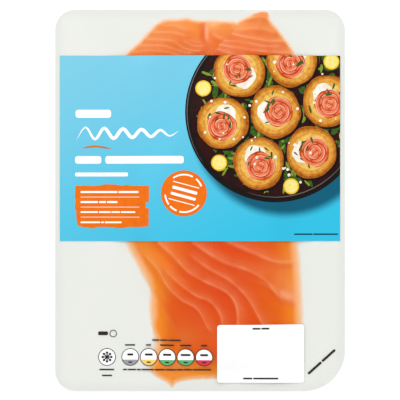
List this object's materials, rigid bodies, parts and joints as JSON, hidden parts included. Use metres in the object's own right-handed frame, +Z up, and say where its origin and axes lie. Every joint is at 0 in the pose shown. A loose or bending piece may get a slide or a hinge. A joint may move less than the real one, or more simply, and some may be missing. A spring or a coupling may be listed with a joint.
{
  "type": "smoked salmon pack",
  "caption": "Flat vacuum pack: overlapping smoked salmon slices on a white board under clear film, with a wide printed label across the upper half.",
  "frame": {"origin": "centre of the board's underside, the face that the pack lies on", "axes": "+Z up out of the front of the pack, +Y to the top edge of the print, +X to the right seen from the front"},
  "size_m": [0.127, 0.167, 0.0077],
  "materials": {
    "board": "smooth white laminated board",
    "salmon": "moist translucent flesh with pale fat lines",
    "film": "clear glossy vacuum film",
    "label": "printed label, satin",
    "panel": "white printed panel, satin"
  },
  "bodies": {
    "root": {"backing_board": "board", "slice_under": "salmon", "slice_top": "salmon", "cover_film": "film", "front_label": "label", "date_panel": "panel"}
  },
  "joints": []
}
